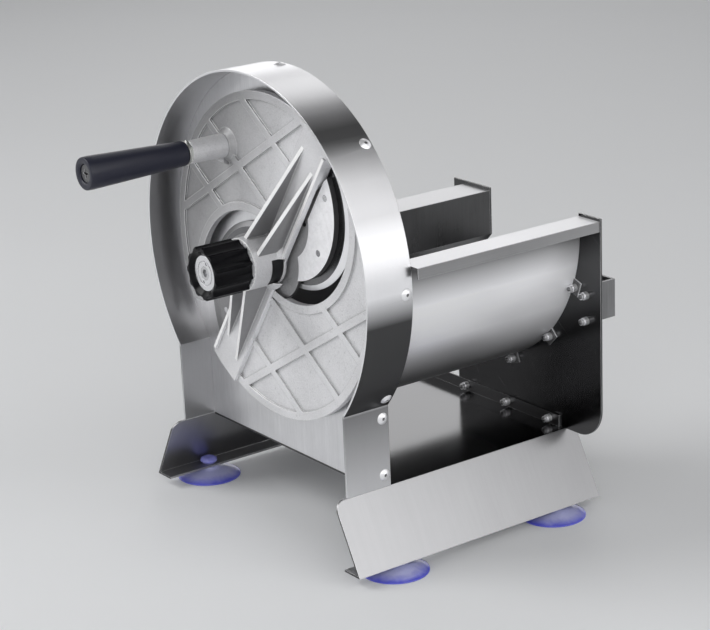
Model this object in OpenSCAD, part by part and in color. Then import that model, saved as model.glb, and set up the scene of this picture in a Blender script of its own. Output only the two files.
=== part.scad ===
// Hand cranked slicer for meat strips: a ribbed cutter disc turns in a sheet steel guard
// and cuts what the trough behind it feeds, at a thickness set by the knob on the shaft.
// Units are millimetres. X runs to the right seen from the disc side, Y runs back along
// the trough, Z is up. The floor under the suction cups is at zero.

/* [Guard] */
// Height of the shaft above the floor
shaft_h = 210; // [170:1:260]
// Outer radius of the guard band
ring_r = 140; // [130:1:170]
// Width of the guard band along the shaft
band_w = 39; // [34:1:60]
// Thickness of the guard, plate and base sheets
sheet_t = 1.5; // [1:0.1:2.5]
// Half the width over the guard's straight legs
leg_x = 107; // [96:1:125]
// Width of the front plate's riveted tabs
tab_w = 12; // [9:0.5:18]

/* [Base] */
// Depth of the deck's top face below the shaft
deck_down = 151.6; // [148:0.1:160]
// Splay of the skirts from the upright
splay_deg = 28.15; // [22:0.05:34]
// Height of the underside of the bottom flanges
flange_z = 8.5; // [6:0.1:15]
// Width of the bottom flanges
flange_w = 18; // [15:0.5:26]
// Reach of the skirts ahead of the guard band
skirt_lead = 11; // [0:0.5:30]
// Reach of the skirts behind the back plate
skirt_tail = 8.5; // [0:0.5:30]
// Height of the deck's rear upstand
upstand_h = 9; // [7:0.5:16]
// Rounding of the skirts' front top corner
skirt_corner_r = 8; // [3:0.5:12]

/* [Plates] */
// Distance from the band's front edge to the front plate
plate_y = 27.4; // [26:0.1:30]
// Clear length of the trough between the two plates
trough_len = 177.1; // [120:1:260]
// Left edge of the back plate, measured from the shaft
back_left = 20.4; // [18:0.2:40]
// Reach of the back plate past the chute's near wall
back_reach = 23.2; // [22:0.2:40]
// Height of the back plate above the rails
back_over = 2.2; // [0.5:0.1:6]
// Rounding of the back plate's lower right corner
back_corner_r = 25; // [5:1:40]

/* [Trough] */
// Thickness of the trough and cover sheets
trough_t = 1.2; // [0.8:0.1:2]
// Room between the guard band and the curved chute wall
trough_room = 19.2; // [18:0.2:35]
// Chute centre to the right of the shaft
trough_cx = 2.9; // [0:0.1:8]
// Chute centre above the shaft
trough_cz = 7; // [0:0.5:15]
// Left wall of the chute, measured from the shaft
wall_x = 18; // [15:0.5:24]
// Height of the rails' top face above the shaft
rail_up = 18.8; // [18.5:0.1:30]
// Width of the near rail's flange
rail_w = 22.5; // [15:0.5:30]
// Depth of the lip that edges the rails
rail_lip = 7.7; // [4:0.1:12]
// Right face of the shaft cover, measured from the shaft
cover_x = 22.7; // [20:0.1:30]
// Width of the shaft cover's top
cover_w = 29.4; // [20:0.1:40]
// Depth of the shaft cover's upright face
cover_drop = 34.7; // [25:0.1:45]
// Reach of the trough's rear tabs past its wall
trough_tab = 9; // [8:0.5:14]

/* [Rivets] */
// Radius of the pop rivets' heads
rivet_head_r = 4.5; // [3:0.1:6]
// Height of the pop rivets' heads
rivet_head_h = 1.6; // [0.8:0.1:2.5]
// Radius of the pop rivets' bodies
rivet_r = 2.4; // [1.6:0.1:3]
// Radius of the pop rivets' swelled tails
rivet_tail_r = 3; // [2.2:0.1:4]
// Length of the tails past the sheets
rivet_tail = 6; // [3:0.5:10]
// Radius of the hole that the mandrel leaves
mandrel_r = 1.2; // [0.6:0.1:1.6]

/* [Rear strap] */
// Height of the strap's band
strap_h = 29.4; // [18:0.2:40]
// Height of the strap's middle below the shaft
strap_down = 50; // [40:0.5:60]
// Distance from the back plate to the strap's far side
strap_out = 31.3; // [15:0.1:50]
// Distance from the chute's near wall to the strap's right leg
strap_right = 1.7; // [1.5:0.1:3]
// Width of the strap's riveted flanges
strap_foot = 12.5; // [12:0.5:20]

/* [Suction cups] */
// Radius of a cup's rim
cup_r = 25; // [18:0.5:30]
// Distance of the cups from the skirts' foot
cup_in = 11.7; // [11.6:0.1:14]
// Distance from the band's front edge to the front cups
cup_y = 29; // [10:1:60]
// Distance between the front and the rear cups
cup_pitch = 150; // [80:1:200]
// Radius of a cup's head above the flange
cup_head_r = 7; // [5:0.2:8]
// Radius of a cup's neck in the flange
cup_neck_r = 4; // [3:0.2:5]

/* [Shaft] */
// Radius of the crank shaft
shaft_r = 8; // [6:0.5:9]
// Radius of the shaft's collar
collar_r = 16; // [14:0.5:18]
// Radius of the bearings' bodies
bearing_r = 11; // [10:0.5:12]
// Radius of the bearings' flanges
bearing_flange_r = 16.4; // [15:0.2:17]
// Thickness of the bearings' flanges
bearing_flange_t = 3; // [2:0.5:5]
// Length of the bearings behind their flange
bearing_len = 12; // [6:1:30]
// Radial play of a running fit
run_fit = 0.08; // [0.02:0.01:0.1]

/* [Disc] */
// Room between the guard band and the cutter disc
disc_room = 17.7; // [15:0.1:30]
// Distance from the band's front edge to the disc's front face
disc_y = 17.5; // [17:0.1:19]
// Thickness of the disc's rim and ribs
disc_t = 5; // [4:0.1:5.5]
// Depth of the cast pockets between the ribs
pocket = 1.7; // [0.8:0.1:2.5]
// Width of the raised rim
rim_w = 6.3; // [4:0.1:10]
// Width of the raised ribs
rib_w = 5.8; // [3:0.1:9]
// Width of the raised border along the windows
border_w = 6.3; // [5:0.1:12]
// Slope of the arm that joins the two halves
arm_deg = 55.8; // [50:0.1:60]
// Half the width of the arm
arm_half = 16; // [15:0.5:18]
// Rise of the arm's floor in front of the disc
arm_rise = 2.5; // [1.5:0.1:4]
// Thickness of the fins on the arm
fin_t = 3.2; // [2:0.1:5]
// Reach of the fins in front of the disc, at the hub
fin_reach = 22.5; // [15:0.5:25]
// Height of the horn's straight end above the shaft
horn_z = 56; // [50:0.5:60]
// Radius of the hub's boss
hub_r = 19.6; // [18:0.1:24]
// Reach of the hub in front of the disc
hub_reach = 26.5; // [22:0.5:30]

/* [Blades] */
// Thickness of the blades
blade_t = 2; // [1.5:0.1:2.6]
// Height left on the cutting edge
edge_t = 0.3; // [0.2:0.05:0.6]
// Slice thickness at the shown setting
slice = 3.5; // [3.2:0.1:4]
// Radius of the carrier's middle
carrier_r = 31.5; // [30:0.5:33]
// Radius of the blade screws
blade_screw_r = 2.5; // [2:0.1:3]
// Radius of the drive pins
pin_r = 3; // [2.5:0.1:3.4]

/* [Knob] */
// Outer radius of the adjusting knob
knob_r = 20; // [17:0.5:24]
// Length of the adjusting knob
knob_len = 31.4; // [26:0.2:40]
// Number of flutes round the knob
knob_lobes = 11; // [8:1:16]
// Radius of the knob's threaded sleeve
sleeve_r = 12; // [11:0.5:13]
// Thickness of the serrated index ring
index_t = 2; // [1.5:0.1:3]

/* [Handle] */
// Length of the grip
grip_len = 83.6; // [70:0.2:110]
// Radius of the grip at its inner end
grip_r = 9.2; // [8.6:0.2:14]
// Radius of the grip at its outer end
grip_tip_r = 12.2; // [9:0.2:16]
// Radius of the cast post under the grip
post_r = 9.2; // [7:0.2:10]
// Reach of the cast post in front of the disc
post_reach = 32.5; // [25:0.5:40]
// Radius of the bolt that carries the grip
bolt_r = 4; // [3:0.2:5]

/* [Hidden] */
$fn = 96;
over = ring_r;
far = 4 * ring_r;
deck_z = shaft_h - deck_down;
trough_r = ring_r - trough_room;
skirt_x = leg_x + (deck_z - flange_z) * tan(splay_deg);
cup_x = skirt_x - cup_in;
near_x = trough_cx + trough_r;
back_right = near_x + back_reach;
strap_x = near_x + strap_right;
disc_r = ring_r - disc_room;

// Outlines on the disc are drawn for one radius and grow with it
drawn_r = 122.3;
grow = disc_r / drawn_r;
handle_x = 52.2 * grow;
handle_z = 75 * grow;
gap = 0.4;
lift = 0.1;
touch = 0.2;

// Places along the shaft
front_in = plate_y + sheet_t;
back_y = front_in + trough_len;
back_out = back_y + sheet_t;
rail_z = shaft_h + rail_up;
disc_back = disc_y + disc_t;
blade_back = disc_back + slice;
blade_front = blade_back - blade_t;
collar_back = plate_y - gap - lift;
nose_y = collar_back + lift;
travel_back = 3;
travel_out = 6.5;
arm_floor = disc_y - arm_rise;
arm_under = disc_y + 0.6 * gap;
carrier_front = arm_under + travel_back + gap;
hub_front = disc_y - hub_reach;
knob_back = hub_front - index_t - lift;
knob_front = knob_back - knob_len;
post_front = disc_y - post_reach;
washer_t = 3.4;
grip_back = post_front - washer_t - 3 * lift;
grip_front = grip_back - grip_len;
strap_y = back_out + strap_out;
y_mid = (grip_front + strap_y) / 2;

// Guard tabs: angles round the ring and heights on the legs
tab_deg = [-36.6, 0, 45, 90, 135, 180, 216.6];
tab_len = 9.6;
rivet_y = front_in + tab_len / 2;
leg_rivet_up = [9, 52];
leg_rivets = [for (u = leg_rivet_up) deck_z + u];
trough_deg = [-20.3, -44.9, -68.7];
upstand_x = [-8.5, 41.4, 90.5];

// Disc outline, from the centre of the shaft
win_r = 72.2 * grow;
win_c = [26.6, 43.3] * grow;
win_toe = 24 * grow;
miter_share = sqrt(2) - 1;
lip_w = 0.17 * arm_half;
lip_rise = 2;
fin_off = [-9.3, 8];
fin_end = [115.1, 104.9] * grow;
fin_root = 18;
rib_a_deg = 54.5;
rib_b_deg = 120.15;
rib_a = [76.2, 28.9, -16.2] * grow;
rib_b = 72 * grow;
fillet = 4;
post_rib = 1.6 * post_r;
post_rib_w = 3;

// Blade and carrier outlines, from the centre of the shaft
blade_r = 70 * grow;
blade_c = [24.6, 50.3] * grow;
bevel_c = [27.2, 42.6] * grow;
bevel_r = 57.9 * grow;
blade_in_c = [12, 38] * grow;
blade_in_r = 38 * grow;
blade_tip = 18.2;
blade_toe_deg = 4.97;
pad_r = 57.4 * grow;
pad_c = [20.7, 44.8] * grow;
pad_rise = 1.5;
pad_edge = arm_half + 1.2;
pad_end_deg = 130.9;
pad_end = 7.6;
pad_under = 8;
patch_c = [16, 32.8] * grow;
patch_r = 30.4 * grow;
patch_hole = [39, 33] * grow;
patch_hole_r = 2.6;
blade_screw_at = [[68, 57], [56.9, 14.6]] * grow;
screw_head = 1.9;
pin_at = 26.3;
pin_off = -0.6;
pin_reach = carrier_front - arm_floor + travel_out + 1.4 * gap;
carrier_bolt_at = 12;
carrier_bolt_r = 2;

// Shaft end, bearings and knob
sleeve_end = 7.5;
shaft_front = knob_front + sleeve_end + travel_back + 8.5 * gap;
shaft_back = back_out + 8;
bearing_nose = 2.4;
bearing_room = bearing_flange_t + gap;
bearing_rivet_at = 13.7;
bearing_rivet_r = 1.5;
bearing_rivet_head = 1.2;
clip_ring_r = shaft_r + 3;
clip_t = 1.2;
clip_groove = 0.8;
thrust_t = 0.6;
groove_depth = 1.5;
groove_w = 4.6;
clip_from = disc_y - 12.2;
clip_w = 10.4;
clip_low = -16;
clip_high = 4;
sleeve_back = disc_y - 1.4;

// Knob end: its recess, the sleeve's flange with two spanner holes, the zero screw
knob_recess = 2.8;
sleeve_front = knob_front + knob_recess;
end_flange_r = 13;
end_flange_t = 3;
dish_r = 16.4;
end_line_r = 9.2;
end_line_w = 0.6;
spanner_r = 1.1;
spanner_at = 7.4;
spanner_deg = 73;
flute_deep = 2.6;
knob_edge = 1;
teeth = 36;
set_screw_r = 5;
socket_r = 3;
socket_deep = 3;

// Handle bolt
bolt_head_r = 6.4;
bolt_head_h = 5;
bolt_deep = 1.8;
bolt_grip = 20;
cross_w = 1.4;

// Frames: the whole model, the shaft's centre line, profiles laid across the machine
module placed() {
  translate([0, -y_mid, 0]) children();
}

module at_shaft() {
  translate([0, 0, shaft_h]) children();
}

module along_y(from, to) {
  translate([0, to, 0]) rotate([90, 0, 0]) linear_extrude(to - from) children();
}

module rod_y(from, to, r) {
  translate([0, from, 0]) rotate([-90, 0, 0]) cylinder(h=to - from, r=r);
}

module cone_y(from, to, r1, r2) {
  translate([0, from, 0]) rotate([-90, 0, 0]) cylinder(h=to - from, r1=r1, r2=r2);
}

// The half plane past a line: its normal's angle and its distance from the centre
module past(deg, dist) {
  rotate(deg) translate([dist, -far]) square([far, 2 * far]);
}

module strip(deg, mid, w) {
  rotate(deg) translate([mid - w / 2, -far]) square([w, 2 * far]);
}

module both() {
  children();
  rotate(180) children();
}

// Guard outline: a circle that runs down into two straight legs
module ring_face(inset, foot) {
  intersection() {
    union() {
      translate([0, shaft_h]) circle(r=ring_r - inset, $fn=180);
      translate([-(leg_x - inset), foot]) square([2 * (leg_x - inset), shaft_h - foot]);
    }
    translate([-far / 2, foot]) square([far, far]);
  }
}

module at_guard_rivets() {
  for (a = tab_deg)
    translate([0, rivet_y, shaft_h]) rotate([0, 90 - a, 0])
      translate([0, 0, ring_r]) children();
  for (z = leg_rivets)
    for (side = [-1, 1])
      translate([side * leg_x, rivet_y, z]) rotate([0, side * 90, 0]) children();
}

// Half profile of a dome of radius r and height h, for a revolve
module dome(r, h) {
  big = (r * r + h * h) / (2 * h);
  intersection() {
    square([r, h]);
    translate([0, h - big]) circle(r=big, $fn=96);
  }
}

module pop_rivet(grip) {
  rotate_extrude($fn=24) difference() {
    union() {
      dome(rivet_head_r, rivet_head_h);
      translate([0, -grip]) square([rivet_r, grip]);
      translate([0, -grip - rivet_tail]) square([rivet_r, rivet_tail]);
      translate([0, -grip - 0.6 * rivet_tail]) square([rivet_tail_r, 0.6 * rivet_tail]);
    }
    translate([0, -grip]) square([mandrel_r, grip + over]);
  }
}

module rivet_hole(grip) {
  translate([0, 0, -grip - touch]) cylinder(h=grip + 2 * touch, r=rivet_r, $fn=24);
}

module guard_band() color("silver") placed() difference() {
  along_y(0, band_w) difference() {
    ring_face(0, deck_z);
    ring_face(sheet_t, deck_z - sheet_t);
  }
  at_guard_rivets() rivet_hole(2 * sheet_t);
}

// Chute space between the plates; grown by g it gives the outside of the sheets
module chute(g) {
  low = shaft_h - cover_reach();
  difference() {
    union() {
      intersection() {
        translate([trough_cx, shaft_h + trough_cz]) circle(r=trough_r + g, $fn=160);
        translate([-wall_x - g, shaft_h - far]) square([far, far + trough_cz]);
      }
      translate([-wall_x - g, shaft_h + trough_cz])
        square([wall_x + g + trough_cx + trough_r + g, far]);
    }
    polygon([[cover_x - g, shaft_h + far],
      [cover_x - g, rail_z - cover_drop + miter_share * g],
      [-wall_x - g, low + miter_share * g],
      [-far, low + miter_share * g], [-far, shaft_h + far]]);
  }
}

function cover_reach() = cover_drop - rail_up + cover_x + wall_x;

module front_plate() color("silver") placed() {
  along_y(plate_y, front_in) difference() {
      ring_face(sheet_t, deck_z);
      intersection() {
        chute(0);
        translate([-far / 2, 0]) square([far, rail_z - trough_t]);
      }
      translate([0, shaft_h]) circle(r=bearing_r);
      translate([0, shaft_h]) bearing_rivet_spots() circle(r=bearing_rivet_r, $fn=24);
  }
  difference() {
    union() {
      along_y(front_in, front_in + tab_len) translate([0, shaft_h]) intersection() {
        difference() {
          circle(r=ring_r - sheet_t, $fn=180);
          circle(r=ring_r - 2 * sheet_t, $fn=180);
        }
        for (a = tab_deg) rotate(a) translate([0, -tab_w / 2]) square([ring_r, tab_w]);
      }
      for (z = leg_rivets) for (side = [-1, 1])
        translate([side * (leg_x - 1.5 * sheet_t) - sheet_t / 2, front_in, z - tab_w / 2])
          cube([sheet_t, tab_len, tab_w]);
      translate([-leg_x + 4 * sheet_t, front_in, deck_z])
        cube([2 * leg_x - 8 * sheet_t, tab_w, sheet_t]);
    }
    at_guard_rivets() rivet_hole(2 * sheet_t);
  }
}

module skirt_side() {
  run = skirt_x - leg_x;
  drop = deck_z - flange_z;
  slant = sheet_t * sqrt(run * run + drop * drop) / drop;
  polygon([[leg_x - slant, deck_z], [leg_x, deck_z], [skirt_x, flange_z],
    [skirt_x - flange_w, flange_z], [skirt_x - flange_w, flange_z + sheet_t],
    [skirt_x - slant - run * sheet_t / drop, flange_z + sheet_t]]);
}

module base_plate() color("silver") placed() difference() {
  union() {
    along_y(-skirt_lead, back_out + skirt_tail) {
      skirt_side();
      mirror([1, 0]) skirt_side();
    }
    translate([-leg_x + touch, plate_y, deck_z - sheet_t])
      cube([2 * leg_x - 2 * touch, back_y - plate_y, sheet_t]);
    translate([-leg_x + 4 * sheet_t, back_y - sheet_t, deck_z - sheet_t])
      cube([2 * leg_x - 8 * sheet_t, sheet_t, upstand_h + sheet_t]);
  }
  for (side = [-1, 1]) for (y = [cup_y, cup_y + cup_pitch])
    translate([side * cup_x, y, 0]) cylinder(h=flange_z + 2 * sheet_t, r=cup_neck_r);
  for (x = upstand_x) translate([x, 0, deck_z + upstand_h / 2]) rod_y(back_y - 2 * sheet_t,
    back_out, rivet_r, $fn=24);
  skirt_corner();
}

// Rounds the skirts' top corner in front of the guard band
module skirt_corner() {
  translate([-far / 2, -skirt_lead, deck_z - skirt_corner_r]) difference() {
    translate([0, -touch, 0]) cube([far, skirt_corner_r + touch, over]);
    translate([-touch, skirt_corner_r, 0]) rotate([0, 90, 0])
      cylinder(h=far + 2 * touch, r=skirt_corner_r);
  }
}

module back_plate() color("silver") placed() difference() {
  along_y(back_y, back_out) difference() {
    union() {
      translate([-back_left, deck_z])
        square([back_left + back_right - back_corner_r, rail_z + back_over - deck_z]);
      translate([back_right - back_corner_r - touch, deck_z + back_corner_r])
        square([back_corner_r + touch, rail_z + back_over - deck_z - back_corner_r]);
      translate([back_right - back_corner_r, deck_z + back_corner_r])
        circle(r=back_corner_r);
    }
    chute(0);
    translate([0, shaft_h]) circle(r=bearing_r);
    translate([0, shaft_h]) bearing_rivet_spots() circle(r=bearing_rivet_r, $fn=24);
    back_spots() circle(r=rivet_r, $fn=24);
  }
}

// Pop rivet spots on the back plate: trough tabs, deck upstand and strap
module trough_spots() {
  for (a = trough_deg) translate([trough_cx, shaft_h + trough_cz]) rotate(a)
    translate([trough_r + trough_tab / 2, 0]) children();
}

module upstand_spots() {
  for (x = upstand_x) translate([x, deck_z + upstand_h / 2]) children();
}

module strap_spots() {
  for (z = [-strap_h / 3, strap_h / 3])
    translate([strap_x + strap_foot / 2, shaft_h - strap_down + z]) children();
  translate([-wall_x + strap_foot / 2, shaft_h - strap_down + strap_h / 3]) children();
}

module back_spots() {
  trough_spots() children();
  upstand_spots() children();
  strap_spots() children();
}

module feed_trough() color("silver") placed() {
  band_x = sqrt(pow(ring_r - 2 * sheet_t, 2) - rail_up * rail_up) - gap;
  along_y(front_in, back_y) intersection() {
    difference() {
      chute(trough_t);
      chute(0);
      translate([-far / 2, rail_z]) square([far, far]);
    }
    union() {
      translate([-far / 2, 0]) square([far, seam_z()]);
      translate([cover_x + trough_t, 0]) square([far, far]);
    }
  }
  translate([near_x, front_in, rail_z - trough_t])
    cube([band_x - near_x, trough_len, trough_t]);
  translate([near_x, band_w + gap, rail_z - trough_t])
    cube([rail_w, back_y - band_w - gap, trough_t]);
  translate([near_x + rail_w - trough_t, band_w + gap, rail_z - rail_lip])
    cube([trough_t, back_y - band_w - gap, rail_lip]);
  difference() {
    union() {
      along_y(back_y - trough_t, back_y) tab_faces();
      along_y(front_in, front_in + trough_t) tab_faces();
    }
    along_y(back_y - 2 * trough_t, back_out) trough_spots() circle(r=rivet_r, $fn=24);
  }
}

function seam_z() = shaft_h + trough_cz
  - sqrt(trough_r * trough_r - (wall_x + trough_cx) * (wall_x + trough_cx)) + tab_w;

module tab_faces() {
  difference() {
    for (a = trough_deg) translate([trough_cx, shaft_h + trough_cz]) rotate(a)
      translate([trough_r - trough_tab, -tab_w / 2]) square([2 * trough_tab, tab_w]);
    translate([trough_cx, shaft_h + trough_cz]) circle(r=trough_r + trough_t / 2, $fn=160);
  }
}

module shaft_cover() color("silver") placed() {
  along_y(front_in, back_y) {
    intersection() {
      difference() {
        chute(trough_t);
        chute(0);
        translate([-far / 2, rail_z]) square([far, far]);
      }
      translate([-far / 2, seam_z()]) square([far / 2 + cover_x + trough_t, far]);
    }
    translate([cover_x - cover_w, rail_z - trough_t]) square([cover_w, trough_t]);
  }
  along_y(front_in + bearing_room, back_y - bearing_room)
    translate([cover_x - cover_w, rail_z - rail_lip]) square([trough_t, rail_lip]);
}

module rear_strap() color("silver") placed() difference() {
  translate([0, 0, shaft_h - strap_down - strap_h / 2]) union() {
    translate([strap_x, back_out, 0]) cube([strap_foot, sheet_t, strap_h]);
    translate([strap_x, back_out, 0]) cube([sheet_t, strap_out, strap_h]);
    translate([-wall_x + strap_foot, strap_y - sheet_t, 0])
      cube([strap_x + wall_x - strap_foot, sheet_t, strap_h]);
    translate([-wall_x + strap_foot - sheet_t, back_out, 0])
      cube([sheet_t, strap_out, strap_h]);
    translate([-wall_x, back_out, strap_h / 2])
      cube([strap_foot, sheet_t, strap_h / 2]);
  }
  along_y(back_y, back_out + 2 * sheet_t) strap_spots() circle(r=rivet_r, $fn=24);
}

module bearing_rivet_spots() {
  for (a = [30, 150, 270]) rotate(a) translate([bearing_rivet_at, 0]) children();
}

// One flanged bearing, its flange against the plate at zero and its nose through it
module bearing(nose) {
  difference() {
    rotate_extrude() {
      translate([shaft_r + run_fit, -nose])
        square([bearing_r - shaft_r - run_fit, nose + bearing_len]);
      translate([bearing_r, 0]) square([bearing_flange_r - bearing_r, bearing_flange_t]);
    }
    bearing_rivet_spots()
      translate([0, 0, -touch]) cylinder(h=bearing_flange_t + 2 * touch, r=bearing_rivet_r, $fn=24);
  }
}

module front_bearing() color("darkgoldenrod") placed() at_shaft()
  translate([0, front_in, 0]) rotate([-90, 0, 0]) mirror([0, 1, 0]) bearing(front_in - nose_y);

module rear_bearing() color("darkgoldenrod") placed() at_shaft()
  translate([0, back_y, 0]) rotate([90, 0, 0]) bearing(bearing_nose);

module bearing_rivets() color("silver") placed() at_shaft() {
  for (a = [30, 150, 270]) {
    rotate([0, -a, 0]) translate([bearing_rivet_at, 0, 0]) {
      rod_y(plate_y, front_in + bearing_flange_t, bearing_rivet_r, $fn=24);
      rod_y(front_in + bearing_flange_t, front_in + bearing_flange_t + bearing_rivet_head,
        1.7 * bearing_rivet_r, $fn=24);
      rod_y(back_y - bearing_flange_t, back_out, bearing_rivet_r, $fn=24);
      rod_y(back_out, back_out + bearing_rivet_head, 1.7 * bearing_rivet_r, $fn=24);
    }
  }
}

function nose_back() = back_y + bearing_nose;
function ring_y() = nose_back() + lift + thrust_t;

module shaft() color("gray") placed() at_shaft() difference() {
  union() {
    rod_y(shaft_front, shaft_back, shaft_r);
    rod_y(blade_front, collar_back, collar_r);
  }
  difference() {
    rod_y(ring_y(), ring_y() + clip_t, shaft_r + touch);
    rod_y(ring_y() - touch, ring_y() + clip_t + touch, shaft_r - clip_groove);
  }
  carrier_bolt_spots() rod_y(blade_front - touch, far, carrier_bolt_r, $fn=24);
}

module carrier_bolt_spots() {
  for (a = [arm_deg + 60, arm_deg + 180, arm_deg + 300])
    rotate([0, -a, 0]) translate([carrier_bolt_at, 0, 0]) children();
}

module shaft_washer() color("silver") placed() at_shaft() difference() {
  rod_y(nose_back() + lift, ring_y(), clip_ring_r);
  rod_y(nose_back(), ring_y() + touch, shaft_r);
}

module shaft_circlip() color("dimgray") placed() at_shaft() difference() {
  rod_y(ring_y(), ring_y() + clip_t, shaft_r + 1.5 * clip_groove);
  rod_y(ring_y() - touch, ring_y() + clip_t + touch, shaft_r - clip_groove);
  translate([-shaft_r / 2, ring_y() - touch, -2 * shaft_r])
    cube([shaft_r, clip_t + 2 * touch, 2 * shaft_r]);
}

// Blade carrier outline: a round middle and two lobes that carry the blades, grown by g
module carrier_face(g) {
  circle(r=carrier_r + g);
  both() intersection() {
    translate(pad_c) circle(r=pad_r + g);
    past(arm_deg - 90, pad_under - g);
    rotate(180) past(pad_end_deg, -pad_end - g);
  }
}

module pad_face() {
  both() difference() {
    intersection() {
      translate(pad_c) circle(r=pad_r);
      past(arm_deg - 90, pad_edge);
      rotate(180) past(pad_end_deg, -pad_end);
      past(arm_deg, -carrier_r / 2);
    }
    translate(patch_c) circle(r=patch_r);
    circle(r=carrier_r + gap);
  }
}

module blade_screw_spots() {
  for (q = blade_screw_at) translate([q[0], 0, q[1]]) children();
}

module blade_carrier() color("lightgray") placed() at_shaft() difference() {
  union() {
    along_y(carrier_front, blade_front) carrier_face(0);
    along_y(carrier_front - pad_rise, carrier_front + touch) pad_face();
  }
  rod_y(0, far, shaft_r);
  carrier_bolt_spots() {
    rod_y(0, far, carrier_bolt_r, $fn=24);
    cone_y(carrier_front, carrier_front + carrier_bolt_r, 2 * carrier_bolt_r,
      carrier_bolt_r, $fn=24);
  }
  for (turn = [0, 180]) rotate([0, turn, 0]) {
    blade_screw_spots() rod_y(0, far, blade_screw_r, $fn=24);
    translate([patch_hole[0], 0, patch_hole[1]]) rod_y(0, far, patch_hole_r, $fn=24);
    pin_spot() rod_y(0, far, pin_r, $fn=32);
  }
}

module pin_spot() {
  rotate([0, -arm_deg, 0]) translate([pin_at, 0, -pin_off]) children();
}

module carrier_screws() color("silver") placed() at_shaft() carrier_bolt_spots() {
  rod_y(carrier_front, collar_back, carrier_bolt_r, $fn=24);
  cone_y(carrier_front, carrier_front + carrier_bolt_r, 2 * carrier_bolt_r,
    carrier_bolt_r, $fn=24);
}

module drive_pins() color("silver") placed() at_shaft()
  for (turn = [0, 180]) rotate([0, turn, 0]) pin_spot()
    rod_y(carrier_front - pin_reach, blade_front, pin_r, $fn=32);

// Crescent blade: flat on the food side, a long bevel towards the cutting edge in front
module blade() {
  difference() {
    intersection() {
      hull() {
        translate([blade_c[0], 0, blade_c[1]])
          rod_y(blade_back - edge_t, blade_back, blade_r, $fn=120);
        translate([bevel_c[0], 0, bevel_c[1]])
          rod_y(blade_front, blade_back, bevel_r, $fn=120);
      }
      along_y(0, far) difference() {
        intersection() {
          past(arm_deg - 90, blade_tip);
          translate(blade_c) past(-blade_toe_deg, 0);
        }
        translate(blade_in_c) circle(r=blade_in_r);
      }
    }
    blade_screw_spots() {
      rod_y(0, far, blade_screw_r, $fn=24);
      cone_y(blade_back - screw_head, blade_back, blade_screw_r,
        blade_screw_r + screw_head, $fn=24);
    }
  }
}

module blade_1() color("gainsboro") placed() at_shaft() blade();

module blade_2() color("gainsboro") placed() at_shaft() rotate([0, 180, 0]) blade();

module blade_screws() color("silver") placed() at_shaft()
  for (turn = [0, 180]) rotate([0, turn, 0]) blade_screw_spots() {
    rod_y(carrier_front - pad_rise, blade_back, blade_screw_r, $fn=24);
    cone_y(blade_back - screw_head, blade_back, blade_screw_r,
      blade_screw_r + screw_head, $fn=24);
  }

// Disc outline: a circle with two spiral windows open at their outer end
module disc_window() {
  intersection() {
    union() {
      translate(win_c) circle(r=win_r, $fn=128);
      past(90, horn_z);
    }
    past(arm_deg - 90, arm_half);
    past(arm_deg, -win_toe);
  }
}

module disc_face() {
  difference() {
    circle(r=disc_r, $fn=160);
    both() disc_window();
  }
}

module disc_raised() {
  intersection() {
    disc_face();
    union() {
      difference() {
        circle(r=disc_r, $fn=160);
        circle(r=disc_r - rim_w, $fn=160);
      }
      strip(arm_deg - 90, 0, 2 * arm_half);
      both() {
        difference() {
          translate(win_c) circle(r=win_r + border_w, $fn=128);
          past(arm_deg + 90, arm_half);
        }
        intersection() {
          union() {
            for (q = rib_a) strip(rib_a_deg, q, rib_w);
            strip(rib_b_deg, rib_b, rib_w);
          }
          past(arm_deg + 90, arm_half);
        }
      }
    }
  }
}

// Fins, lip and floor of one half of the arm
module half_arm() {
  rotate([0, -arm_deg, 0]) {
    for (k = [0, 1]) translate([0, 0, -fin_off[k] - fin_t / 2]) linear_extrude(fin_t)
      polygon([[0, disc_y - fin_reach], [fin_root, disc_y - fin_reach],
        [fin_end[k], disc_y], [fin_end[k], disc_y + pocket], [0, disc_y + pocket]]);
    translate([0, arm_floor - lip_rise, -arm_half])
      cube([disc_r - rim_w, lip_rise + arm_rise, lip_w]);
  }
}

module cutter_disc() color("lightgray") placed() at_shaft() difference() {
  union() {
    along_y(disc_y + pocket, disc_back) disc_face();
    along_y(disc_y, disc_y + 2 * pocket) disc_raised();
    along_y(arm_floor, disc_y + pocket) intersection() {
      circle(r=disc_r, $fn=160);
      strip(arm_deg - 90, 0, 2 * arm_half);
    }
    half_arm();
    rotate([0, 180, 0]) half_arm();
    rod_y(hub_front, arm_under, hub_r);
    cone_y(arm_floor - fillet, arm_floor, hub_r, hub_r + fillet);
    handle_spot() {
      cone_y(post_front, disc_y + pocket, 0.92 * post_r, post_r);
      cone_y(disc_y - fillet / 2, disc_y + pocket, post_r, post_r + fillet / 2 + pocket);
      translate([post_rib_w / 2, 0, 0]) rotate([0, -90, 0]) linear_extrude(post_rib_w)
        polygon([[0, disc_y - post_r], [-post_r, disc_y - post_r],
          [-post_rib, disc_y], [-post_rib, disc_y + pocket], [0, disc_y + pocket]]);
    }
  }
  along_y(arm_under, far) carrier_face(2.5 * gap);
  rod_y(-far, far, shaft_r + run_fit);
  rod_y(-far, sleeve_back + gap, sleeve_r + run_fit);
  translate([sleeve_r - groove_depth * 2, clip_from, clip_low])
    cube([hub_r, clip_w, clip_high - clip_low]);
  for (turn = [0, 180]) rotate([0, turn, 0]) pin_spot()
    rod_y(-far, far, pin_r + run_fit, $fn=32);
  handle_spot() rod_y(-far, post_front + bolt_grip, bolt_r, $fn=48);
}

module handle_spot() {
  translate([-handle_x, 0, handle_z]) children();
}

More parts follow.
